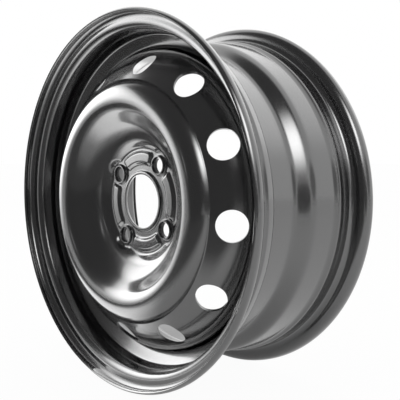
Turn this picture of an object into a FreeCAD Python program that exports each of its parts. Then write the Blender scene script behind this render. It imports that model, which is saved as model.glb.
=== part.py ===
import FreeCAD, Part
import math
import os
import Sketcher

# Pressed steel road wheel: a rolled rim, a pressed disc and the weld beads that join them.
# The wheel's axis is Y. The outboard face looks along -Y, and +Z is up.
# The origin is on the axis, midway between the two flanges.

# Driving dimensions in millimetres and degrees.
# "outboard" and "inboard" places are distances along the axis from the mid plane.
SIZES = {
    # rim
    "rim_width": 152.4,
    "bead_diameter": 380.2,
    "flange_height": 17.3,
    "rim_gauge": 2.5,
    "curl_radius": 9.5,
    "curl_flat": 0.6,
    "curl_tip_radius": 7.0,
    "curl_tip_angle": 48.0,
    "curl_tip_run": 0.8,
    "bead_toe_radius": 6.5,
    "seat_taper": 5.0,
    "hump_distance": 20.2,
    "hump_half_width": 4.6,
    "hump_rise": 1.5,
    "hump_radius": 5.0,
    "rear_ledge_fall": 1.6,
    "rear_ledge_taper": 5.0,
    "rear_ledge_inboard": 18.6,
    "front_ledge_fall": 2.2,
    "front_ledge_outboard": 46.7,
    "ledge_bend": 7.0,
    "well_diameter": 344.2,
    "well_outboard": 33.0,
    "well_inboard": 3.2,
    "well_bend": 8.0,
    "valve_hole_diameter": 11.5,
    "valve_clock": 51.2,
    # disc
    "disc_gauge": 3.3,
    "disc_clock": 36.2,
    "offset": 50.0,
    "disc_flange_outboard": 12.0,
    "shoulder_outboard": 46.4,
    "shoulder_bend": 25.0,
    "vent_face_angle": 48.0,
    "brow_run": 11.9,
    "brow_bend": 38.0,
    "crease_run": 19.0,
    "crease_outboard": 77.0,
    "crease_bend": 4.0,
    "crown_flat": 2.0,
    "crown_outboard": 90.0,
    "crown_outer_bend": 7.0,
    "crown_inner_bend": 14.0,
    "dish_wall_run": 21.5,
    "dish_floor_run": 16.0,
    "dish_outboard": 65.5,
    "dish_bend": 26.0,
    "hub_wall_run": 6.5,
    "hub_brim_rise": 6.6,
    "hub_brim_bend": 5.0,
    "hub_floor_radius": 60.5,
    "hub_floor_bend": 2.5,
    "collar_rise": 2.6,
    "collar_bend": 1.8,
    "collar_round": 0.9,
    "bore_diameter": 60.1,
    "bore_allowance": 1.0,
    "vent_count": 12,
    "vent_diameter": 32.0,
    "vent_radius": 152.9,
    "bolt_count": 4,
    "bolt_circle": 100.0,
    "bolt_hole_diameter": 15.0,
    "bolt_cone_angle": 60.0,
    "bolt_cone_diameter": 20.0,
    "bolt_seat_rise": 4.6,
    "bolt_seat_diameter": 23.0,
    "bolt_seat_draft": 2.0,
    "lobe_radius": 15.5,
    "pad_gap": 3.5,
    "pad_width": 15.5,
    "pad_rise": 3.0,
    "pad_draft": 2.4,
    "pad_sweep": 46.0,
    "pad_round": 1.4,
    # weld beads
    "weld_count": 8,
    "weld_sweep": 32.0,
    "weld_leg": 3.2,
}

# How far an edge may stray and still count as lying in one plane.
FLATNESS = 1e-4

document = FreeCAD.newDocument("SteelWheel")
sheet = document.addObject("Spreadsheet::Sheet", "Size")
for row, (alias, size) in enumerate(SIZES.items(), start=1):
    sheet.set(f"A{row}", str(size))
    sheet.setAlias(f"A{row}", alias)
document.recompute()

# Places that several features share, written once as formulas of the sheet.
HALF_WIDTH = "Size.rim_width / 2"
BEAD = "Size.bead_diameter / 2"
LIP = f"({BEAD} + Size.flange_height)"
WELL = "Size.well_diameter / 2"
WELL_INSIDE = f"({WELL} - Size.rim_gauge)"
HUMP_PLACE = f"({HALF_WIDTH} - Size.hump_distance)"
HUMP_BASE = f"({BEAD} - Size.hump_distance * tan(Size.seat_taper))"
SEAT_END = f"({HUMP_PLACE} + Size.hump_half_width)"
LEDGE_END = f"({HUMP_PLACE} - Size.hump_half_width)"
HUB_BACK = "-Size.offset"
HUB_FRONT = "(-Size.offset - Size.disc_gauge)"
SEAT_FRONT = f"({HUB_FRONT} - Size.bolt_seat_rise)"
PAD_FRONT = f"({HUB_FRONT} - Size.pad_rise)"
COLLAR_END = f"({HUB_FRONT} - Size.collar_rise)"
COLLAR_WALL = "(Size.bore_diameter / 2 - Size.bore_allowance + Size.disc_gauge)"
BOLT_RADIUS = "Size.bolt_circle / 2"

# Radii of the disc's corners, each a run outside the last, from the hub floor to the brow of the vent face.
# Half the turn of a bend gives the length that it takes from the crown's flat.
BRIM = "(Size.hub_floor_radius + Size.hub_wall_run)"
BRIM_PLACE = f"({HUB_FRONT} - Size.hub_brim_rise)"
DISH = f"({BRIM} + Size.dish_floor_run)"
CROWN_INNER = f"({DISH} + Size.dish_wall_run)"
DISH_TURN = "atan((Size.crown_outboard - Size.dish_outboard) / Size.dish_wall_run)"
CREASE_TURN = "atan((Size.crown_outboard - Size.crease_outboard) / Size.crease_run)"
INNER_TANGENT = f"(Size.crown_inner_bend * tan({DISH_TURN} / 2))"
OUTER_TANGENT = f"(Size.crown_outer_bend * tan({CREASE_TURN} / 2))"
CROWN_OUTER = f"({CROWN_INNER} + {INNER_TANGENT} + Size.crown_flat + {OUTER_TANGENT})"
CREASE = f"({CROWN_OUTER} + Size.crease_run)"
BROW = f"({CREASE} + Size.brow_run)"
PAD_OUTER = "(Size.hub_floor_radius - Size.pad_gap)"
PAD_INNER = f"({PAD_OUTER} - Size.pad_width)"


def vent_face_place(radius):
    """Place along the axis of the conical vent face at a radius."""
    return f"(-Size.shoulder_outboard - ({WELL_INSIDE} - {radius}) * tan(Size.vent_face_angle))"


def number(formula):
    """Value of a formula of the sheet."""
    return float(sheet.evalExpression(formula))


def bind(sketch, constraint, formula):
    """Add a constraint whose value follows a formula of the sheet."""
    index = sketch.addConstraint(constraint)
    sketch.setExpression(f"Constraints[{index}]", formula)


def pin_point(sketch, geometry, end, radius, axial):
    """Fix a point of a sketch at a radius and a place along the axis."""
    bind(sketch, Sketcher.Constraint("DistanceX", -1, 1, geometry, end, number(radius)), radius)
    bind(sketch, Sketcher.Constraint("DistanceY", -1, 1, geometry, end, number(axial)), axial)


def bend_arc(corner, before, after, radius):
    """Arc of a rounded corner, with its two tangent points and whether it turns left."""
    arriving = (corner - before).normalize()
    leaving = (after - corner).normalize()
    turn = arriving.getAngle(leaving)
    reach = radius * math.tan(turn / 2)
    first = corner - arriving * reach
    last = corner + leaving * reach
    left = arriving.cross(leaving).z > 0
    inward = (leaving - arriving).normalize()
    centre = corner + inward * (radius / math.cos(turn / 2))
    circle = Part.Circle(centre, FreeCAD.Vector(0, 0, 1), radius)
    ends = (first, last) if left else (last, first)
    angles = [math.atan2(end.y - centre.y, end.x - centre.x) for end in ends]
    return Part.ArcOfCircle(circle, *angles), first, last, left


def bent_outline(name, corners):
    """Open outline of bent sheet: corners of (radius, place along the axis, bend radius or None)."""
    sketch = document.addObject("Sketcher::SketchObject", name)
    points = [FreeCAD.Vector(number(radius), number(axial), 0) for radius, axial, bend in corners]
    bends = {}
    for index, (radius, axial, bend) in enumerate(corners):
        if bend:
            bends[index] = bend_arc(points[index], points[index - 1], points[index + 1], number(bend))
    for index in range(len(points) - 1):
        start = bends[index][2] if index in bends else points[index]
        stop = bends[index + 1][1] if index + 1 in bends else points[index + 1]
        sketch.addGeometry(Part.LineSegment(start, stop), False)
    for index, (radius, axial, bend) in enumerate(corners):
        if index == len(corners) - 1:
            pin_point(sketch, index - 1, 2, radius, axial)
        elif index not in bends:
            if index > 0:
                sketch.addConstraint(Sketcher.Constraint("Coincident", index - 1, 2, index, 1))
            pin_point(sketch, index, 1, radius, axial)
        else:
            arc, first, last, left = bends[index]
            curve = sketch.addGeometry(arc, False)
            first_end, last_end = (1, 2) if left else (2, 1)
            sketch.addConstraint(Sketcher.Constraint("Tangent", index - 1, 2, curve, first_end))
            sketch.addConstraint(Sketcher.Constraint("Tangent", curve, last_end, index, 1))
            bind(sketch, Sketcher.Constraint("Radius", curve, number(bend)), bend)
            corner = sketch.addGeometry(Part.Point(points[index]), True)
            sketch.addConstraint(Sketcher.Constraint("PointOnObject", corner, 1, index - 1))
            sketch.addConstraint(Sketcher.Constraint("PointOnObject", corner, 1, index))
            pin_point(sketch, corner, 1, radius, axial)
    return sketch


def spun_sheet(name, outline, gauge):
    """Sheet metal of one gauge spun round the axis from the outline of its outer side."""
    section = document.addObject("Part::Offset2D", f"{name}Section")
    section.Source = outline
    section.setExpression("Value", gauge)
    section.Mode = "Skin"
    section.Join = "Arc"
    section.Fill = True
    spun = document.addObject("Part::Revolution", f"{name}Spun")
    spun.Source = section
    spun.Base = (0, 0, 0)
    spun.Axis = (0, 1, 0)
    spun.Angle = 360
    spun.Solid = True
    return spun


def origin_feature(body, role):
    """Plane or axis of a body's own origin."""
    return next(feature for feature in body.Origin.OriginFeatures if feature.Role == role)


def body_sketch(body, name, plane):
    """Sketch on one of the body's own origin planes."""
    sketch = body.newObject("Sketcher::SketchObject", name)
    sketch.AttachmentSupport = (origin_feature(body, plane), [""])
    sketch.MapMode = "FlatFace"
    return sketch


def closed_profile(sketch, corners):
    """Closed profile of straight edges through corners of (radius, place along the axis)."""
    points = [FreeCAD.Vector(number(radius), number(axial), 0) for radius, axial in corners]
    count = len(points)
    for index in range(count):
        sketch.addGeometry(Part.LineSegment(points[index], points[(index + 1) % count]), False)
    for index, (radius, axial) in enumerate(corners):
        sketch.addConstraint(Sketcher.Constraint("Coincident", index, 2, (index + 1) % count, 1))
        pin_point(sketch, index, 1, radius, axial)


def bolt_axis(sketch):
    """Construction line along the axis of the first bolt hole."""
    foot = FreeCAD.Vector(number(BOLT_RADIUS), number(SEAT_FRONT), 0)
    head = FreeCAD.Vector(number(BOLT_RADIUS), number(HUB_BACK), 0)
    line = sketch.addGeometry(Part.LineSegment(foot, head), True)
    pin_point(sketch, line, 1, BOLT_RADIUS, SEAT_FRONT)
    pin_point(sketch, line, 2, BOLT_RADIUS, HUB_BACK)


def turned(body, kind, name, profile, sweep="360", about_bolt=False, clock=None):
    """Revolution or groove of a closed profile, even on both sides of its plane."""
    sketch = body_sketch(body, f"{name}Profile", "XY_Plane")
    closed_profile(sketch, profile)
    if clock:
        turn = FreeCAD.Rotation(FreeCAD.Vector(0, 1, 0), number(clock))
        sketch.AttachmentOffset = FreeCAD.Placement(FreeCAD.Vector(), turn)
        sketch.setExpression("AttachmentOffset.Rotation.Angle", f"({clock}) * 1 deg")
    if about_bolt:
        bolt_axis(sketch)
    document.recompute()
    feature = body.newObject(kind, name)
    feature.Profile = sketch
    feature.ReferenceAxis = (sketch, ["Axis0"]) if about_bolt else (origin_feature(body, "Y_Axis"), [""])
    feature.Midplane = True
    feature.setExpression("Angle", f"({sweep}) * 1 deg")
    document.recompute()
    return feature


def punched(body, name, radius, axial, tilt, diameter):
    """Round hole punched square to a sloping wall, tilted from the radial direction."""
    sketch = body_sketch(body, f"{name}Profile", "YZ_Plane")
    turn = FreeCAD.Rotation(FreeCAD.Vector(0, 1, 0), number(tilt))
    sketch.AttachmentOffset = FreeCAD.Placement(FreeCAD.Vector(number(axial), 0, number(radius)), turn)
    sketch.setExpression("AttachmentOffset.Base.x", axial)
    sketch.setExpression("AttachmentOffset.Base.z", radius)
    sketch.setExpression("AttachmentOffset.Rotation.Angle", f"({tilt}) * 1 deg")
    hole = Part.Circle(FreeCAD.Vector(), FreeCAD.Vector(0, 0, 1), number(diameter) / 2)
    sketch.addGeometry(hole, False)
    sketch.addConstraint(Sketcher.Constraint("Coincident", 0, 3, -1, 1))
    bind(sketch, Sketcher.Constraint("Diameter", 0, number(diameter)), diameter)
    document.recompute()
    feature = body.newObject("PartDesign::Pocket", name)
    feature.Profile = sketch
    feature.Midplane = True
    feature.setExpression("Length", diameter)
    body.Tip = feature
    document.recompute()
    return feature


def ring_of(body, name, originals, count):
    """Copies of features spaced evenly round the wheel's axis."""
    pattern = body.newObject("PartDesign::PolarPattern", name)
    pattern.Originals = originals
    pattern.Axis = (origin_feature(body, "Y_Axis"), [""])
    pattern.Angle = 360
    pattern.setExpression("Occurrences", count)
    body.Tip = pattern
    document.recompute()
    return pattern


def rounded_at(body, name, axial, radius):
    """Round off every edge that lies in one plane across the axis."""
    base = body.Tip
    place = number(axial)
    flat = []
    for index, edge in enumerate(base.Shape.Edges, start=1):
        if edge.BoundBox.YLength < FLATNESS and abs(edge.Vertexes[0].Y - place) < FLATNESS:
            flat.append(f"Edge{index}")
    fillet = body.newObject("PartDesign::Fillet", name)
    fillet.Base = (base, flat)
    fillet.setExpression("Radius", radius)
    body.Tip = fillet
    document.recompute()
    return fillet


def sheet_body(label, outline, gauge, clock):
    """Body that starts from spun sheet, turned to its clock angle from the top."""
    body = document.addObject("PartDesign::Body", label)
    body.Label = label
    body.BaseFeature = spun_sheet(label, outline, gauge)
    turn = FreeCAD.Rotation(FreeCAD.Vector(0, 1, 0), number(f"{clock} - 90"))
    body.Placement = FreeCAD.Placement(FreeCAD.Vector(), turn)
    body.setExpression("Placement.Rotation.Angle", f"({clock} - 90) * 1 deg")
    document.recompute()
    return body


def flange_corners(side):
    """Curl, flange wall, bead seat and hump of one flange, from the tip inwards."""
    tip_turn = "(Size.curl_tip_radius * tan(Size.curl_tip_angle / 2))"
    top = f"({HALF_WIDTH} + Size.curl_radius + Size.curl_flat + {tip_turn})"
    run = f"({tip_turn} + Size.curl_tip_run)"
    seat_end_radius = f"{BEAD} - (Size.hump_distance - Size.hump_half_width) * tan(Size.seat_taper)"
    tip_radius = f"{LIP} - {run} * sin(Size.curl_tip_angle)"
    tip_place = f"{side}({top} + {run} * cos(Size.curl_tip_angle))"
    return [
        (tip_radius, tip_place, None),
        (LIP, f"{side}{top}", "Size.curl_tip_radius"),
        (LIP, f"{side}({HALF_WIDTH})", "Size.curl_radius"),
        (BEAD, f"{side}({HALF_WIDTH})", "Size.bead_toe_radius"),
        (seat_end_radius, f"{side}{SEAT_END}", None),
        (f"{HUMP_BASE} + Size.hump_rise", f"{side}{HUMP_PLACE}", "Size.hump_radius"),
    ]


# Rim, from the outline of its tyre side between the two curled flanges.
FRONT_LEDGE = f"({HUMP_BASE} - Size.front_ledge_fall)"
REAR_LEDGE = f"({HUMP_BASE} - Size.rear_ledge_fall)"
REAR_LEDGE_FOOT = f"({REAR_LEDGE} - ({LEDGE_END} - Size.rear_ledge_inboard) * tan(Size.rear_ledge_taper))"
rim_corners = flange_corners("-")
rim_corners += [
    (FRONT_LEDGE, "-Size.front_ledge_outboard", "Size.ledge_bend"),
    (WELL, "-Size.well_outboard", "Size.well_bend"),
    (WELL, "Size.well_inboard", "Size.well_bend"),
    (REAR_LEDGE_FOOT, "Size.rear_ledge_inboard", "Size.ledge_bend"),
    (REAR_LEDGE, LEDGE_END, None),
]
rim_corners += reversed(flange_corners(""))
rim_outline = bent_outline("RimOutline", rim_corners)
rim = sheet_body("rim", rim_outline, "-Size.rim_gauge", "Size.valve_clock")
WALL_RUN = "(Size.front_ledge_outboard - Size.well_outboard)"
WALL_RISE = f"({FRONT_LEDGE} - {WELL})"
punched(
    rim,
    "ValveHole",
    f"{WELL} + {WALL_RISE} / 2",
    f"-Size.well_outboard - {WALL_RUN} / 2",
    f"90 - atan({WALL_RUN} / {WALL_RISE}) / 1 deg",
    "Size.valve_hole_diameter",
)

# Disc, from the outline of its outboard side between the rim flange and the bore collar.
disc_corners = [
    (WELL_INSIDE, "-Size.disc_flange_outboard", None),
    (WELL_INSIDE, "-Size.shoulder_outboard", "Size.shoulder_bend"),
    (BROW, vent_face_place(BROW), "Size.brow_bend"),
    (CREASE, "-Size.crease_outboard", "Size.crease_bend"),
    (CROWN_OUTER, "-Size.crown_outboard", "Size.crown_outer_bend"),
    (CROWN_INNER, "-Size.crown_outboard", "Size.crown_inner_bend"),
    (DISH, "-Size.dish_outboard", "Size.dish_bend"),
    (BRIM, BRIM_PLACE, "Size.hub_brim_bend"),
    ("Size.hub_floor_radius", HUB_FRONT, "Size.hub_floor_bend"),
    (COLLAR_WALL, HUB_FRONT, "Size.collar_bend"),
    (COLLAR_WALL, COLLAR_END, None),
]
disc_outline = bent_outline("DiscOutline", disc_corners)
disc = sheet_body("wheel_disc", disc_outline, "Size.disc_gauge", "Size.disc_clock")

# Bore, machined to size inside the drawn collar.
BORE = "Size.bore_diameter / 2"
CLEAR_FRONT = "-Size.crown_outboard"
turned(
    disc,
    "PartDesign::Groove",
    "Bore",
    [("0", "0"), (BORE, "0"), (BORE, CLEAR_FRONT), ("0", CLEAR_FRONT)],
)
rounded_at(disc, "CollarRound", COLLAR_END, "Size.collar_round")

# Lobes of the hub recess round the bolts: a wall of the sheet's gauge behind, hollowed from the front.
LOBE = f"({BOLT_RADIUS} + Size.lobe_radius)"
LOBE_BACK = f"({LOBE} + Size.disc_gauge)"
DISH_FALL = f"((Size.dish_outboard + {BRIM_PLACE}) / Size.dish_floor_run)"
LOBE_TOP = f"({BRIM_PLACE} - ({LOBE_BACK} - {BRIM}) * {DISH_FALL} + Size.disc_gauge / 2)"
lobe_wall = turned(
    disc,
    "PartDesign::Revolution",
    "LobeWall",
    [(BOLT_RADIUS, HUB_BACK), (LOBE_BACK, HUB_BACK), (LOBE_BACK, LOBE_TOP), (BOLT_RADIUS, LOBE_TOP)],
    sweep="180",
    about_bolt=True,
)
ring_of(disc, "LobeWalls", [lobe_wall], "Size.bolt_count")
turned(
    disc,
    "PartDesign::Groove",
    "HubRecess",
    [
        (PAD_INNER, HUB_FRONT),
        ("Size.hub_floor_radius", HUB_FRONT),
        (BRIM, BRIM_PLACE),
        (PAD_INNER, BRIM_PLACE),
    ],
)
lobe_hollow = turned(
    disc,
    "PartDesign::Groove",
    "LobeHollow",
    [(BOLT_RADIUS, HUB_FRONT), (LOBE, HUB_FRONT), (LOBE, CLEAR_FRONT), (BOLT_RADIUS, CLEAR_FRONT)],
    about_bolt=True,
)
ring_of(disc, "LobeHollows", [lobe_hollow], "Size.bolt_count")

# Bolt seats: raised bosses with a conical seat and a through hole.
SEAT = f"({BOLT_RADIUS} + Size.bolt_seat_diameter / 2)"
SEAT_FOOT = f"({SEAT} + Size.bolt_seat_draft)"
HOLE = f"({BOLT_RADIUS} + Size.bolt_hole_diameter / 2)"
CONE = f"({BOLT_RADIUS} + Size.bolt_cone_diameter / 2)"
CONE_DEPTH = "((Size.bolt_cone_diameter - Size.bolt_hole_diameter) / 2 / tan(Size.bolt_cone_angle / 2))"
bolt_seat = turned(
    disc,
    "PartDesign::Revolution",
    "BoltSeat",
    [
        (BOLT_RADIUS, HUB_BACK),
        (SEAT_FOOT, HUB_BACK),
        (SEAT_FOOT, HUB_FRONT),
        (SEAT, SEAT_FRONT),
        (BOLT_RADIUS, SEAT_FRONT),
    ],
    about_bolt=True,
)
ring_of(disc, "BoltSeats", [bolt_seat], "Size.bolt_count")
bolt_hole = turned(
    disc,
    "PartDesign::Groove",
    "BoltHole",
    [
        (BOLT_RADIUS, "0"),
        (HOLE, "0"),
        (HOLE, f"{SEAT_FRONT} + {CONE_DEPTH}"),
        (CONE, SEAT_FRONT),
        (BOLT_RADIUS, SEAT_FRONT),
    ],
    about_bolt=True,
)
ring_of(disc, "BoltHoles", [bolt_hole], "Size.bolt_count")

# Pads between the bolts, pressed out of the hub floor.
PAD_CLOCK = "180 / Size.bolt_count"
pad = turned(
    disc,
    "PartDesign::Revolution",
    "Pad",
    [
        (PAD_INNER, HUB_FRONT),
        (PAD_OUTER, HUB_FRONT),
        (f"{PAD_OUTER} - Size.pad_draft", PAD_FRONT),
        (f"{PAD_INNER} + Size.pad_draft", PAD_FRONT),
    ],
    sweep="Size.pad_sweep",
    clock=PAD_CLOCK,
)
ring_of(disc, "Pads", [pad], "Size.bolt_count")
rounded_at(disc, "PadRound", PAD_FRONT, "Size.pad_round")
pad_back = turned(
    disc,
    "PartDesign::Groove",
    "PadBack",
    [
        (f"{PAD_INNER} + Size.pad_draft", HUB_BACK),
        (f"{PAD_OUTER} - Size.pad_draft", HUB_BACK),
        (f"{PAD_OUTER} - 2 * Size.pad_draft", f"{HUB_BACK} - Size.pad_rise"),
        (f"{PAD_INNER} + 2 * Size.pad_draft", f"{HUB_BACK} - Size.pad_rise"),
    ],
    sweep=f"Size.pad_sweep - 2 * atan(Size.pad_draft / {PAD_INNER}) / 1 deg",
    clock=PAD_CLOCK,
)
ring_of(disc, "PadBacks", [pad_back], "Size.bolt_count")

# Vent holes, punched square to the sloping face outside the crown.
vent = punched(
    disc,
    "Vent",
    "Size.vent_radius",
    vent_face_place("Size.vent_radius"),
    "Size.vent_face_angle - 90",
    "Size.vent_diameter",
)
ring_of(disc, "Vents", [vent], "Size.vent_count")

# Weld beads between the end of the disc's flange and the rim's well.
bead_profile = document.addObject("Sketcher::SketchObject", "BeadProfile")
closed_profile(
    bead_profile,
    [
        (WELL_INSIDE, "-Size.disc_flange_outboard"),
        (WELL_INSIDE, "-Size.disc_flange_outboard + Size.weld_leg"),
        (f"{WELL_INSIDE} - Size.weld_leg", "-Size.disc_flange_outboard"),
    ],
)
beads = []
for index in range(int(number("Size.weld_count"))):
    bead = document.addObject("Part::Revolution", f"Bead{index + 1}")
    bead.Source = bead_profile
    bead.Base = (0, 0, 0)
    bead.Axis = (0, 1, 0)
    bead.setExpression("Angle", "Size.weld_sweep * 1 deg")
    bead.Symmetric = True
    bead.Solid = True
    clock = f"Size.disc_clock + {index} * 360 / Size.weld_count"
    turn = FreeCAD.Rotation(FreeCAD.Vector(0, 1, 0), number(clock))
    bead.Placement = FreeCAD.Placement(FreeCAD.Vector(), turn)
    bead.setExpression("Placement.Rotation.Angle", f"({clock}) * 1 deg")
    beads.append(bead)
weld_beads = document.addObject("Part::Compound", "weld_beads")
weld_beads.Links = beads
document.recompute()

# Every feature must have solved, and every piece must be a sound solid, before anything is written.
for feature in document.Objects:
    if "Invalid" in feature.State or "Error" in feature.State:
        raise RuntimeError(f"{feature.Name} failed: {feature.State}")
os.makedirs("parts", exist_ok=True)
for piece in (rim, disc, weld_beads):
    if piece.Shape.isNull() or not piece.Shape.isValid():
        raise RuntimeError(f"{piece.Label} is not a sound solid")
    print(piece.Label, len(piece.Shape.Solids), "solids", round(piece.Shape.Volume), "cubic mm")
    piece.Shape.exportStep(f"parts/{piece.Label}.step")
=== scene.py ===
import math

import bmesh
import bpy
from mathutils import Matrix, Vector


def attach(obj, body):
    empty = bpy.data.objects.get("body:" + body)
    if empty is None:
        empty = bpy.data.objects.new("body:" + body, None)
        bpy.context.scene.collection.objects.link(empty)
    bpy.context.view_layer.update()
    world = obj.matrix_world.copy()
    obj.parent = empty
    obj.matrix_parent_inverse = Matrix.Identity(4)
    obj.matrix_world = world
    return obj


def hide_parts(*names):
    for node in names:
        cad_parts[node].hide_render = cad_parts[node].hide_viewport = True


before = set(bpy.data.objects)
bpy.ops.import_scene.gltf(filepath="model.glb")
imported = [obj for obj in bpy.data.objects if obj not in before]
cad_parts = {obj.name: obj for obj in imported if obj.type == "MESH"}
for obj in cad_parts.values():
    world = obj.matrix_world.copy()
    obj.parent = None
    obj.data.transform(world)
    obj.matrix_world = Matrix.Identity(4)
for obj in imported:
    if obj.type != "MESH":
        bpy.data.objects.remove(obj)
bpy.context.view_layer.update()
print("frame loaded:", sorted(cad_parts))

mm = 0.001  # sizes below are in millimetres and degrees, the scene is in metres
mergeReach = 0.002  # points nearer than this become one
wheelAxis = Vector((0, 1, 0))  # the outboard face looks along -Y


# helpers for outlines and meshes

def clockSpot(clock, radius, place):
    # point at a clock angle from the top, a radius and a place along the axis
    turn = math.radians(clock)
    return Vector((math.sin(turn) * radius, place, math.cos(turn) * radius)) * mm


def radiusOf(spot):
    return math.hypot(spot.x, spot.z) / mm


def bendOutline(corners, arcStep, runStep):
    # corners are (radius, place, bend radius): bends become arcs, and long runs are divided
    spots = [Vector(corner[:2]) for corner in corners]
    path = []
    for i, spot in enumerate(spots):
        bend = corners[i][2]
        if not bend:
            path.append(spot)
            continue
        arrive = (spot - spots[i - 1]).normalized()
        leave = (spots[i + 1] - spot).normalized()
        turn = arrive.angle(leave)
        centre = spot + (leave - arrive).normalized() * (bend / math.cos(turn / 2))
        first = spot - arrive * (bend * math.tan(turn / 2))
        side = math.copysign(1, arrive.x * leave.y - arrive.y * leave.x)
        count = max(2, math.ceil(math.degrees(turn) / arcStep))
        for k in range(count + 1):
            path.append(centre + Matrix.Rotation(side * turn * k / count, 2) @ (first - centre))
    outline = [path[0]]
    for spot in path[1:]:
        last = outline[-1].copy()
        pieces = max(1, math.ceil((spot - last).length / runStep(last.x)))
        outline += [last.lerp(spot, k / pieces) for k in range(1, pieces + 1)]
    return outline


def spinOutline(outline, steps, clock=0.0, sweep=360.0, closed=False):
    # spins (radius, place) points round the wheel's axis, starting at a clock angle
    bm = bmesh.new()
    verts = [bm.verts.new(clockSpot(clock, spot.x, spot.y)) for spot in outline]
    edges = [bm.edges.new(pair) for pair in zip(verts, verts[1:])]
    if closed:
        edges.append(bm.edges.new((verts[-1], verts[0])))
    bmesh.ops.spin(bm, geom=verts + edges, cent=(0, 0, 0), axis=wheelAxis,
                   angle=math.radians(sweep), steps=steps, use_merge=sweep >= 360.0)
    bmesh.ops.remove_doubles(bm, verts=bm.verts, dist=mergeReach * mm)
    bmesh.ops.recalc_face_normals(bm, faces=bm.faces)
    return bm


def faceTowards(bm, wanted):
    # turns an open skin so that its faces look the way that wanted(middle) points
    score = sum(face.normal.dot(wanted(face.calc_center_median())) * face.calc_area() for face in bm.faces)
    if score < 0:
        bmesh.ops.reverse_faces(bm, faces=bm.faces)


def makePiece(name, bm):
    mesh = bpy.data.meshes.new(name)
    bm.to_mesh(mesh)
    bm.free()
    piece = bpy.data.objects.new(name, mesh)
    bpy.context.scene.collection.objects.link(piece)
    return piece


def addModifier(piece, kind, **settings):
    modifier = piece.modifiers.new(kind.title(), kind)
    for key, value in settings.items():
        setattr(modifier, key, value)


def bakeModifiers(piece):
    # keeps the shape that the modifiers give and drops them
    bpy.context.view_layer.update()
    graph = bpy.context.evaluated_depsgraph_get()
    mesh = bpy.data.meshes.new_from_object(piece.evaluated_get(graph))
    piece.modifiers.clear()
    piece.data = mesh


def pressSheet(piece, spec):
    # gives a skin its gauge, behind its faces, and eases the cut edges
    addModifier(piece, "SOLIDIFY", thickness=spec["gauge"] * mm, offset=-1.0, use_even_offset=True)
    addModifier(piece, "BEVEL", width=spec["edgeBevel"] * mm, segments=spec["edgeSteps"],
                limit_method="ANGLE", angle_limit=math.radians(spec["edgeAngle"]))
    bakeModifiers(piece)


def cutAway(piece, cutters):
    # takes the joined cutters out of a piece
    knife = makePiece(piece.name + "Knife", cutters)
    addModifier(piece, "BOOLEAN", object=knife, operation="DIFFERENCE", solver="EXACT")
    bakeModifiers(piece)
    bpy.data.objects.remove(knife)


def addPunch(cutters, middle, direction, radius, length, segments):
    # round punch through a sheet, added to a bmesh of cutters
    turn = direction.normalized().to_track_quat("Z", "Y").to_matrix().to_4x4()
    bmesh.ops.create_cone(cutters, cap_ends=True, segments=segments, radius1=radius * mm,
                          radius2=radius * mm, depth=length * mm,
                          matrix=Matrix.Translation(middle) @ turn)


def joinInto(whole, part):
    # adds one bmesh to another and drops it
    mesh = bpy.data.meshes.new("joined")
    part.to_mesh(mesh)
    part.free()
    whole.from_mesh(mesh)
    bpy.data.meshes.remove(mesh)


def smoothFaces(piece, sharpAngle):
    piece.data.shade_smooth()
    piece.data.set_sharp_from_angle(angle=math.radians(sharpAngle))


def smoothStep(value):
    t = min(1.0, max(0.0, value))
    return t * t * (3 - 2 * t)


def softMin(a, b, blend):
    h = max(blend - abs(a - b), 0.0) / blend
    return min(a, b) - h * h * blend / 4


def softMax(a, b, blend):
    return -softMin(-a, -b, blend)


# helpers for materials

def paintColour(code):
    # sRGB hex to the linear colour that shaders take
    parts = [int(code[i:i + 2], 16) / 255 for i in (1, 3, 5)]
    linear = [p / 12.92 if p <= 0.04045 else ((p + 0.055) / 1.055) ** 2.4 for p in parts]
    return (*linear, 1.0)


white = paintColour("#ffffff")


def clearTree(block):
    # empty node tree of a material or the world
    block.use_nodes = True
    block.node_tree.nodes.clear()
    return block.node_tree


def addNode(tree, kind, settings=None, values=None, links=None):
    node = tree.nodes.new(kind)
    for key, value in (settings or {}).items():
        setattr(node, key, value)
    for key, value in (values or {}).items():
        node.inputs[key].default_value = value
    for key, socket in (links or {}).items():
        tree.links.new(socket, node.inputs[key])
    return node


# black dip paint, baked on: a hard film with a clear gloss, so sharp glints ride on a softer sheen
dipPaint = {
    "film": "#0b0b0c",
    "thinFilm": "#131315",
    "tint": (60.0, 3.0),            # size and detail: slow change of film depth where the paint ran off
    "peel": (2.2, 1.0),             # ripple of the film, drawn a little coarse so that it shows
    "peelDepth": 0.0012,
    "dust": (0.9, 4.0),             # specks in the film
    "dustRange": (0.35, 0.65),      # part of the speck pattern over which the gloss changes
    "roughness": (0.18, 0.26),
    "coatRoughness": 0.10,
    "paintIor": 2.0,
    "coatIor": 1.7,
}


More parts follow.
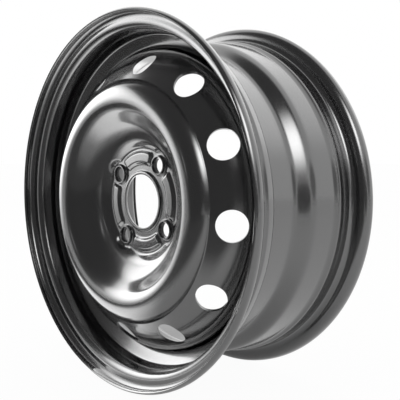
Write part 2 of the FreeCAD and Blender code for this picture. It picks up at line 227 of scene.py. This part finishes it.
def makeDipPaint(name, spec):
    material = bpy.data.materials.new(name)
    tree = clearTree(material)
    spot = addNode(tree, "ShaderNodeTexCoord").outputs["Object"]
    noise = {}
    for layer in ("tint", "dust", "peel"):
        size, detail = spec[layer]
        pattern = addNode(tree, "ShaderNodeTexNoise", values={"Scale": 1 / (size * mm), "Detail": detail},
                          links={"Vector": spot})
        noise[layer] = pattern.outputs["Fac"]
    colour = addNode(tree, "ShaderNodeMix", {"data_type": "RGBA"},
                     {6: paintColour(spec["film"]), 7: paintColour(spec["thinFilm"])},
                     {0: noise["tint"]})
    faint, strong = spec["dustRange"]
    low, high = spec["roughness"]
    rough = addNode(tree, "ShaderNodeMapRange",
                    values={"From Min": faint, "From Max": strong, "To Min": low, "To Max": high},
                    links={"Value": noise["dust"]})
    bump = addNode(tree, "ShaderNodeBump", values={"Strength": 1.0, "Distance": spec["peelDepth"] * mm},
                   links={"Height": noise["peel"]})
    shader = addNode(tree, "ShaderNodeBsdfPrincipled",
                     values={"Coat Weight": 1.0, "Coat Roughness": spec["coatRoughness"],
                             "Coat IOR": spec["coatIor"], "IOR": spec["paintIor"]},
                     links={"Base Color": colour.outputs[2], "Roughness": rough.outputs["Result"],
                            "Normal": bump.outputs["Normal"], "Coat Normal": bump.outputs["Normal"]})
    addNode(tree, "ShaderNodeOutputMaterial", links={"Surface": shader.outputs["BSDF"]})
    return material


paint = makeDipPaint("blackDipPaint", dipPaint)
print("paint mixed")


def finishPiece(piece, node):
    piece.data.materials.clear()
    piece.data.materials.append(paint)
    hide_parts(node)
    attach(piece, "root")
    print(node, "dressed:", len(piece.data.polygons), "faces")


# rim: one rolled hoop of strip, drawn along its tyre side from the outboard to the inboard curl
rimSizes = {
    "gauge": 2.5,
    "halfWidth": 76.2,
    "bead": 190.1,
    "lip": 207.4,
    "curl": 9.5,
    "curlFlat": 0.6,
    "tipBend": 7.0,
    "tipAngle": 48.0,
    "tipRun": 0.8,
    "beadToe": 6.5,
    "seatTaper": 5.0,
    "humpDistance": 20.2,
    "humpHalfWidth": 4.6,
    "humpRise": 1.5,
    "humpBend": 5.0,
    "frontLedge": (0.4, -45.6),     # fall below the seat, place
    "rearLedge": (1.6, 18.6),
    "rearLedgeTaper": 5.0,
    "ledgeBends": (7.0, 18.0),      # front, rear
    "well": 172.1,
    "wellEnds": (-36.4, 3.2),
    "wellBends": (8.0, 13.0),
    "valveHole": (5.75, 51.2),      # radius, clock angle
    "valvePunch": (14.0, 40),       # length, sides
    "steps": 256,
    "arcStep": 7.0,
    "runStep": 4.0,
    "edgeBevel": 0.45,
    "edgeSteps": 2,
    "edgeAngle": 50.0,              # sharper edges are eased
    "sharpAngle": 35.0,             # sharper edges are shaded as edges
}


def flangeCorners(spec, side):
    # tip, curl, flange wall, bead seat and hump of one flange
    tipTurn = math.radians(spec["tipAngle"])
    reach = spec["tipBend"] * math.tan(tipTurn / 2)
    top = spec["halfWidth"] + spec["curl"] + spec["curlFlat"] + reach
    run = reach + spec["tipRun"]
    taper = math.tan(math.radians(spec["seatTaper"]))
    hump = spec["halfWidth"] - spec["humpDistance"]
    seatRun = spec["humpDistance"] - spec["humpHalfWidth"]
    humpTop = spec["bead"] - spec["humpDistance"] * taper + spec["humpRise"]
    return [
        (spec["lip"] - run * math.sin(tipTurn), side * (top + run * math.cos(tipTurn)), None),
        (spec["lip"], side * top, spec["tipBend"]),
        (spec["lip"], side * spec["halfWidth"], spec["curl"]),
        (spec["bead"], side * spec["halfWidth"], spec["beadToe"]),
        (spec["bead"] - seatRun * taper, side * (hump + spec["humpHalfWidth"]), None),
        (humpTop, side * hump, spec["humpBend"]),
    ]


def makeRim(spec):
    humpTop, hump = flangeCorners(spec, 1)[-1][:2]
    humpFoot = humpTop - spec["humpRise"]
    frontFall, frontPlace = spec["frontLedge"]
    rearFall, rearPlace = spec["rearLedge"]
    frontLedge = humpFoot - frontFall
    rearLedge = humpFoot - rearFall
    rearEnd = hump - spec["humpHalfWidth"]
    rearFoot = rearLedge - (rearEnd - rearPlace) * math.tan(math.radians(spec["rearLedgeTaper"]))
    corners = flangeCorners(spec, -1)
    corners.append((frontLedge, frontPlace, spec["ledgeBends"][0]))
    corners += [(spec["well"], place, bend) for place, bend in zip(spec["wellEnds"], spec["wellBends"])]
    corners.append((rearFoot, rearPlace, spec["ledgeBends"][1]))
    corners.append((rearLedge, rearEnd, None))
    corners += reversed(flangeCorners(spec, 1))
    bm = spinOutline(bendOutline(corners, spec["arcStep"], lambda radius: spec["runStep"]), spec["steps"])
    faceTowards(bm, lambda middle: Vector((middle.x, 0, middle.z)))  # tyre side out
    rim = makePiece("rimHoop", bm)
    pressSheet(rim, spec)

    # valve hole, punched square to the wall between the front ledge and the well
    holeRadius, holeClock = spec["valveHole"]
    wallRun = spec["wellEnds"][0] - frontPlace
    wallRise = frontLedge - spec["well"]
    middle = clockSpot(holeClock, spec["well"] + wallRise / 2, frontPlace + wallRun / 2)
    outwards = clockSpot(holeClock, wallRun, 0) + wheelAxis * (wallRise * mm)
    cutters = bmesh.new()
    addPunch(cutters, middle, outwards, holeRadius, *spec["valvePunch"])
    cutAway(rim, cutters)
    smoothFaces(rim, spec["sharpAngle"])
    return rim


rim = makeRim(rimSizes)
finishPiece(rim, "rim")


# wheel disc: one pressing, drawn along its outboard side from the flange in the rim to the bore collar
discSizes = {
    "gauge": 3.3,
    "clock": 36.2,                  # clock angle of the first bolt and the first vent
    "flange": (169.6, -12.0),       # radius, place of its end
    "shoulder": (-46.4, 25.0),      # place, bend
    "ventFaceAngle": 48.0,
    "browRun": 16.5,
    "browBend": 38.0,
    "crease": (-77.0, 2.8),
    "flankAngle": 63.0,             # outer side of the crown at the crease
    "crown": -90.0,
    "crownToCrease": 51.0,          # from the foot of the dish wall to the crease
    "wallAngle": 48.7,              # inner side of the crown
    "dishFloorRun": 16.0,
    "dish": (-65.5, 38.0),
    "hubWallRun": 6.5,
    "hubBrimRise": 6.6,
    "hubFloorRadius": 60.5,
    "hubFront": -53.3,
    "hubField": (37.0, 73.0),       # radii between which the hub is shaped point by point
    "hubMargin": 0.1,               # the fine steps reach this far past it
    "floorRound": 1.6,
    "brimRound": 3.0,
    "boltCircle": 50.0,
    "boltCount": 4,
    "lobeRadius": 15.5,
    "lobeSteep": 2.6,
    "padMiddle": 49.2,
    "padHalfWidth": 8.4,
    "padHalfSweep": 30.0,
    "padCorner": 5.0,
    "padRise": 2.8,
    "padRamp": 4.4,
    "collarWall": 33.35,
    "collarRise": 2.6,
    "collarBend": 2.2,
    "ventCount": 12,
    "ventRadius": 152.9,
    "ventHole": 16.0,
    "ventPunch": (16.0, 72),        # length, sides
    "steps": 288,
    "arcStep": 5.0,
    "runStep": 3.6,
    "hubStep": 0.95,
    "edgeBevel": 0.45,
    "edgeSteps": 2,
    "edgeAngle": 50.0,
    "sharpAngle": 32.0,
}

# bolt seat: a boss drawn up from the hub floor, with a conical seat and a through hole
seatSizes = {
    "foot": 13.0,
    "footBend": 1.4,
    "lean": 0.6,                    # the boss is this much wider at its foot
    "top": 10.4,
    "topBend": 0.6,
    "rise": 3.5,
    "cone": 9.1,
    "coneBend": 0.4,
    "hole": 8.0,
    "holeDepth": 0.2,
    "punch": 14.0,                  # length of the punch that makes room for the seat
    "steps": 64,
    "arcStep": 12.0,
    "runStep": 4.0,
}


def hubRise(spec, radius, turn):
    # height of the hub's outboard side above its floor; turn is measured from the first bolt
    brim = spec["hubFloorRadius"] + spec["hubWallRun"]
    dishSlope = (-spec["dish"][0] + spec["hubFront"] - spec["hubBrimRise"]) / spec["dishFloorRun"]
    dishRise = spec["hubBrimRise"] + (radius - brim) * dishSlope
    wallRise = (radius - spec["hubFloorRadius"]) * spec["hubBrimRise"] / spec["hubWallRun"]
    step = 2 * math.pi / spec["boltCount"]
    fromBolt = (turn + step / 2) % step - step / 2
    reach = math.hypot(radius * math.cos(fromBolt) - spec["boltCircle"], radius * math.sin(fromBolt))
    lobeRise = (reach - spec["lobeRadius"]) * spec["lobeSteep"]
    rise = softMin(wallRise, lobeRise, spec["floorRound"])
    rise = softMin(rise, dishRise, spec["brimRound"])
    rise = softMax(rise, 0.0, spec["floorRound"])

    # pads pressed up halfway between the bolts
    fromPad = turn % step - step / 2
    across = abs(radius - spec["padMiddle"]) - spec["padHalfWidth"] + spec["padCorner"]
    along = radius * (abs(fromPad) - math.radians(spec["padHalfSweep"])) + spec["padCorner"]
    outside = math.hypot(max(across, 0), max(along, 0)) + min(max(across, along), 0) - spec["padCorner"]
    return rise + spec["padRise"] * smoothStep(-outside / spec["padRamp"])


def shapeHub(spec, disc):
    # moves the plain cone between the dish and the collar to the hub's pressed shape
    low, high = spec["hubField"]
    first = math.radians(spec["clock"])
    coneRise = hubRise(spec, high, math.pi / spec["boltCount"])
    for vertex in disc.data.vertices:
        radius = radiusOf(vertex.co)
        if low < radius < high:
            turn = math.atan2(vertex.co.x, vertex.co.z) - first
            cone = coneRise * (radius - low) / (high - low)
            vertex.co.y -= (hubRise(spec, radius, turn) - cone) * mm


def makeSeat(spec, hubFront, gauge, clock, circle):
    # closed ring spun about the wheel's axis, then carried out to its bolt
    top = hubFront - spec["rise"]
    back = hubFront + gauge
    corners = [
        (spec["foot"], back, None),
        (spec["foot"], hubFront, None),
        (spec["top"] + spec["lean"], hubFront, spec["footBend"]),
        (spec["top"], top, spec["topBend"]),
        (spec["cone"], top, spec["coneBend"]),
        (spec["hole"], hubFront + spec["holeDepth"], None),
        (spec["hole"], back, None),
    ]
    outline = bendOutline(corners, spec["arcStep"], lambda radius: spec["runStep"])
    bm = spinOutline(outline, spec["steps"], closed=True)
    bmesh.ops.translate(bm, verts=bm.verts, vec=clockSpot(clock, circle, 0))
    return bm


def makeDisc(spec, seatSpec):
    flange, flangeEnd = spec["flange"]
    shoulder, shoulderBend = spec["shoulder"]
    crease, creaseBend = spec["crease"]
    dish, dishBend = spec["dish"]
    hubLow, hubHigh = spec["hubField"]
    dishRadius = spec["hubFloorRadius"] + spec["hubWallRun"] + spec["dishFloorRun"]
    creaseRadius = dishRadius + spec["crownToCrease"]
    brow = creaseRadius + spec["browRun"]

    # the crown is one arc between its two sides, which would meet at the peak
    flank, wall = math.radians(spec["flankAngle"]), math.radians(spec["wallAngle"])
    slopes = math.tan(flank) + math.tan(wall)
    peak = (dish - crease + math.tan(flank) * creaseRadius + math.tan(wall) * dishRadius) / slopes
    peakPlace = crease - math.tan(flank) * (creaseRadius - peak)
    swell = math.cos((flank - wall) / 2) / math.cos((flank + wall) / 2)
    crownBend = (spec["crown"] - peakPlace) / (swell - 1)
    ventSlope = math.tan(math.radians(spec["ventFaceAngle"]))
    hubTop = spec["hubFront"] - hubRise(spec, hubHigh, math.pi / spec["boltCount"])
    corners = [
        (flange, flangeEnd, None),
        (flange, shoulder, shoulderBend),
        (brow, shoulder - (flange - brow) * ventSlope, spec["browBend"]),
        (creaseRadius, crease, creaseBend),
        (peak, peakPlace, crownBend),
        (dishRadius, dish, dishBend),
        (hubHigh, hubTop, None),
        (hubLow, spec["hubFront"], None),
        (spec["collarWall"], spec["hubFront"], spec["collarBend"]),
        (spec["collarWall"], spec["hubFront"] - spec["collarRise"], None),
    ]
    fineEnd = hubHigh + spec["hubMargin"]
    outline = bendOutline(corners, spec["arcStep"],
                          lambda radius: spec["hubStep"] if radius < fineEnd else spec["runStep"])
    bm = spinOutline(outline, spec["steps"], clock=spec["clock"])
    faceTowards(bm, lambda middle: -wheelAxis)  # outboard side out
    disc = makePiece("wheelDisc", bm)
    pressSheet(disc, spec)
    shapeHub(spec, disc)

    # vents punched square to the sloping face, and places for the bolt seats
    cutters = bmesh.new()
    lean = math.radians(spec["ventFaceAngle"])
    ventPlace = shoulder - (flange - spec["ventRadius"]) * ventSlope
    for i in range(spec["ventCount"]):
        clock = spec["clock"] + i * 360 / spec["ventCount"]
        middle = clockSpot(clock, spec["ventRadius"], ventPlace)
        outwards = clockSpot(clock, math.sin(lean), -math.cos(lean))
        addPunch(cutters, middle, outwards, spec["ventHole"], *spec["ventPunch"])
    boltClocks = [spec["clock"] + i * 360 / spec["boltCount"] for i in range(spec["boltCount"])]
    for clock in boltClocks:
        addPunch(cutters, clockSpot(clock, spec["boltCircle"], spec["hubFront"]), wheelAxis,
                 seatSpec["foot"], seatSpec["punch"], seatSpec["steps"])
    cutAway(disc, cutters)

    whole = bmesh.new()
    whole.from_mesh(disc.data)
    for clock in boltClocks:
        joinInto(whole, makeSeat(seatSpec, spec["hubFront"], spec["gauge"], clock, spec["boltCircle"]))
    whole.to_mesh(disc.data)
    whole.free()
    smoothFaces(disc, spec["sharpAngle"])
    return disc


disc = makeDisc(discSizes, seatSizes)
finishPiece(disc, "wheel_disc")


# weld beads behind the disc: short fillets laid between the end of its flange and the rim
weldSizes = {
    "count": 8,
    "sweep": 32.0,
    "clock": discSizes["clock"],
    "corner": discSizes["flange"],  # radius, place of the corner that the fillet fills
    "leg": 3.2,
    "crown": 0.75,                  # bulge of the bead's face
    "ripple": 0.22,                 # from trough to crest
    "rippleStep": 2.4,
    "rippleLean": 1.2,              # how far the ripples trail at the root
    "taper": 5.0,                   # length of the run-out at each end
    "endShare": 0.35,               # what is left of the section at the very end
    "steps": 90,
    "faceSteps": 10,
    "sharpAngle": 50.0,
}


def makeWelds(spec):
    radius, place = spec["corner"]
    bm = bmesh.new()
    corner = Vector((radius, place))
    face = []
    for k in range(spec["faceSteps"] + 1):
        t = k / spec["faceSteps"]
        bulge = spec["crown"] * math.sin(math.pi * t) / math.sqrt(2)
        face.append(corner + Vector((-spec["leg"] * (1 - t) - bulge, spec["leg"] * t + bulge)))
    for i in range(spec["count"]):
        start = spec["clock"] + i * 360 / spec["count"] - spec["sweep"] / 2
        bead = spinOutline([corner] + face, spec["steps"], clock=start, sweep=spec["sweep"], closed=True)
        bmesh.ops.holes_fill(bead, edges=[edge for edge in bead.edges if edge.is_boundary])
        bmesh.ops.recalc_face_normals(bead, faces=bead.faces)
        length = math.radians(spec["sweep"]) * radius
        for vertex in bead.verts:
            turn = (math.atan2(vertex.co.x, vertex.co.z) - math.radians(start)) % (2 * math.pi)
            along = min(turn * radius, length)
            out = Vector((radiusOf(vertex.co) - radius, vertex.co.y / mm - place))
            fromEnd = smoothStep(min(along, length - along) / spec["taper"])
            share = min(1.0, spec["endShare"] + (1 - spec["endShare"]) * fromEnd)
            bow = out.length / spec["leg"]
            wave = math.sin(2 * math.pi * (along - spec["rippleLean"] * (1 - bow)) / spec["rippleStep"])
            out *= share * (1 + bow * spec["ripple"] / 2 * wave / spec["leg"])
            clock = math.degrees(math.atan2(vertex.co.x, vertex.co.z))
            vertex.co = clockSpot(clock, radius + out.x, place + out.y)
        joinInto(bm, bead)
    welds = makePiece("weldBeads", bm)
    smoothFaces(welds, spec["sharpAngle"])
    return welds


welds = makeWelds(weldSizes)
finishPiece(welds, "weld_beads")


# floor: pale card under both lips, close to plain white for the camera and with the shadow kept;
# mirrored rays see more of the card itself
floorSizes = {
    "top": -rimSizes["lip"],
    "half": 30000.0,
    "card": "#f2f2f2",
    "glow": 0.96,           # share of plain white for the camera
    "mirrorGlow": 0.25,     # the same in mirrored rays
}


def makeFloor(spec):
    material = bpy.data.materials.new("whiteCard")
    tree = clearTree(material)
    path = addNode(tree, "ShaderNodeLightPath")
    seen = addNode(tree, "ShaderNodeMath", {"operation": "MAXIMUM"},
                   links={0: path.outputs["Is Camera Ray"], 1: path.outputs["Is Transmission Ray"]})
    direct = addNode(tree, "ShaderNodeMath", {"operation": "MULTIPLY"}, {1: spec["glow"]},
                     {0: seen.outputs[0]})
    share = addNode(tree, "ShaderNodeMath", {"operation": "MULTIPLY_ADD"}, {1: spec["mirrorGlow"]},
                    {0: path.outputs["Is Glossy Ray"], 2: direct.outputs[0]})
    card = addNode(tree, "ShaderNodeBsdfDiffuse", values={"Color": paintColour(spec["card"])})
    glow = addNode(tree, "ShaderNodeEmission", values={"Strength": 1.0})
    mix = addNode(tree, "ShaderNodeMixShader", links={0: share.outputs[0], 1: card.outputs[0],
                                                      2: glow.outputs[0]})
    addNode(tree, "ShaderNodeOutputMaterial", links={"Surface": mix.outputs[0]})
    bm = bmesh.new()
    bmesh.ops.create_grid(bm, x_segments=1, y_segments=1, size=spec["half"] * mm,
                          matrix=Matrix.Translation((0, 0, spec["top"] * mm)))
    floor = makePiece("floorCard", bm)
    floor.data.materials.append(material)


makeFloor(floorSizes)


# studio: white surround, a dark cloth over the camera's side and soft light cards
studio = {
    "surround": 1.0,                # what the camera and mirrored rays see
    "ambient": 0.85,                # what lights the object
    "topLight": ((-0.45, 0.30, 1.5), 1.0, 0.15),    # place and size in metres, level
}

# place and half sizes in metres, level, share of soft edge; a flat card lies just over the floor
cardSizes = {
    "leftCard": ((-0.92, -0.38, 0.33), (0.66, 0.60), 4.7, 0.70, False),
    "rightCard": ((0.78, -0.31, 0.54), (0.33, 0.40), 6.5, 0.9, False),
    "backCard": ((0.05, 1.40, 1.00), (1.50, 0.75), 1.6, 0.6, False),
    "streakCard": ((-0.31, -1.02, 0.17), (0.06, 0.12), 1.4, 0.9, False),
    "sideCloth": ((0.94, -0.36, 0.02), (0.33, 0.19), 0.15, 0.4, False),
    "rearSideCloth": ((1.05, 0.26, 0.19), (0.42, 0.26), 0.35, 0.5, False),
    "nearFloorCard": ((-0.24, -0.12, -0.198), (0.28, 0.19), 2.4, 0.5, True),
    "rearFloorCard": ((-0.40, 0.25, -0.198), (0.30, 0.35), 3.0, 0.8, True),
    "leftFloorCloth": ((-0.72, -0.52, -0.202), (0.42, 0.42), 0.12, 0.4, True),
    "frontFloorCloth": ((0.12, -0.90, -0.204), (1.25, 0.68), 0.18, 0.3, True),
}
clothSizes = {
    "radius": 1.15,
    "towards": (0.198, -0.740, 0.643),
    "reach": (62.0, 50.0),          # angle of its edge, and angle within which it is full
    "tone": "#606060",
    "segments": (48, 24),
}


def makeWorld(spec):
    world = bpy.data.worlds.new("studioSurround")
    tree = clearTree(world)
    path = addNode(tree, "ShaderNodeLightPath")
    seen = addNode(tree, "ShaderNodeMath", {"operation": "MAXIMUM"},
                   links={0: path.outputs["Is Glossy Ray"], 1: path.outputs["Is Transmission Ray"]})
    seen = addNode(tree, "ShaderNodeMath", {"operation": "MAXIMUM"},
                   links={0: seen.outputs[0], 1: path.outputs["Is Camera Ray"]})
    strength = addNode(tree, "ShaderNodeMix", values={2: spec["ambient"], 3: spec["surround"]},
                       links={0: seen.outputs[0]})
    back = addNode(tree, "ShaderNodeBackground", values={"Color": white},
                   links={"Strength": strength.outputs[0]})
    addNode(tree, "ShaderNodeOutputWorld", links={"Surface": back.outputs[0]})
    bpy.context.scene.world = world

    place, size, level = spec["topLight"]
    lamp = bpy.data.lights.new("topLight", "AREA")
    lamp.size = size
    # power at which a white face turned to the lamp shows its level
    lamp.energy = level * math.pi ** 2 * Vector(place).length_squared
    light = bpy.data.objects.new("topLight", lamp)
    light.location = place
    light.rotation_euler = Vector(place).to_track_quat("Z", "Y").to_euler()
    light.visible_camera = False
    light.visible_glossy = False
    bpy.context.scene.collection.objects.link(light)


def hangInStudio(thing):
    # only mirrored rays see it
    thing.visible_camera = False
    thing.visible_diffuse = False
    thing.visible_shadow = False


def makeGlow(name, colour, level, softness):
    # emission that fades to clear where the value that softness adds to the tree falls to 0
    material = bpy.data.materials.new(name)
    tree = clearTree(material)
    glow = addNode(tree, "ShaderNodeEmission", values={"Color": colour, "Strength": level})
    clear = addNode(tree, "ShaderNodeBsdfTransparent")
    mix = addNode(tree, "ShaderNodeMixShader",
                  links={0: softness(tree), 1: clear.outputs[0], 2: glow.outputs[0]})
    addNode(tree, "ShaderNodeOutputMaterial", links={"Surface": mix.outputs[0]})
    return material


def cardSoftness(tree, halves, softEdge):
    # 1 in the middle of a card, falling to 0 at its edge
    spot = addNode(tree, "ShaderNodeTexCoord").outputs["Object"]
    shrunk = addNode(tree, "ShaderNodeMapping", values={"Scale": (1 / halves[0], 1 / halves[1], 1.0)},
                     links={"Vector": spot})
    ball = addNode(tree, "ShaderNodeTexGradient", {"gradient_type": "SPHERICAL"},
                   links={"Vector": shrunk.outputs[0]})
    fade = addNode(tree, "ShaderNodeMapRange", {"interpolation_type": "SMOOTHSTEP"},
                   {"From Max": softEdge}, {"Value": ball.outputs["Fac"]})
    return fade.outputs["Result"]


def makeCards(spec):
    for name, (place, halves, level, softEdge, flat) in spec.items():
        bm = bmesh.new()
        bmesh.ops.create_grid(bm, x_segments=1, y_segments=1, size=1.0)
        bmesh.ops.scale(bm, verts=bm.verts, vec=(*halves, 1.0))
        card = makePiece(name, bm)
        card.location = place
        if not flat:
            card.rotation_euler = Vector(place).to_track_quat("Z", "Y").to_euler()
        glow = makeGlow(name, white, level, lambda tree: cardSoftness(tree, halves, softEdge))
        card.data.materials.append(glow)
        hangInStudio(card)


def makeCloth(spec):
    # ball of cloth round the studio, clear apart from the side that it hangs on
    edge, full = (math.cos(math.radians(angle)) for angle in spec["reach"])

    def softness(tree):
        spot = addNode(tree, "ShaderNodeTexCoord").outputs["Object"]
        way = addNode(tree, "ShaderNodeVectorMath", {"operation": "NORMALIZE"}, links={0: spot})
        nearness = addNode(tree, "ShaderNodeVectorMath", {"operation": "DOT_PRODUCT"},
                           {1: Vector(spec["towards"]).normalized()}, {0: way.outputs["Vector"]})
        fade = addNode(tree, "ShaderNodeMapRange", {"interpolation_type": "SMOOTHSTEP"},
                       {"From Min": edge, "From Max": full}, {"Value": nearness.outputs["Value"]})
        return fade.outputs["Result"]

    bm = bmesh.new()
    around, up = spec["segments"]
    bmesh.ops.create_uvsphere(bm, u_segments=around, v_segments=up, radius=spec["radius"])
    cloth = makePiece("darkCloth", bm)
    cloth.data.materials.append(makeGlow("darkCloth", paintColour(spec["tone"]), 1.0, softness))
    hangInStudio(cloth)


makeWorld(studio)
makeCards(cardSizes)
makeCloth(clothSizes)
print("studio lit")


# camera at the photograph's angle
cameraSizes = {
    "place": (574.6, -499.8, 47.4),
    "target": (37.37, 0.0, 0.59),
    "lens": 57.93,
    "sensor": 36.0,
    "clipEnd": 100.0,       # metres
}


def makeCamera(spec):
    data = bpy.data.cameras.new("camera")
    data.lens = spec["lens"]
    data.sensor_width = spec["sensor"]
    data.sensor_fit = "HORIZONTAL"
    data.clip_end = spec["clipEnd"]
    camera = bpy.data.objects.new("camera", data)
    place = Vector(spec["place"]) * mm
    camera.location = place
    camera.rotation_euler = (place - Vector(spec["target"]) * mm).to_track_quat("Z", "Y").to_euler()
    bpy.context.scene.collection.objects.link(camera)
    bpy.context.scene.camera = camera


makeCamera(cameraSizes)
bpy.context.scene.view_settings.view_transform = "Standard"
print("camera set")
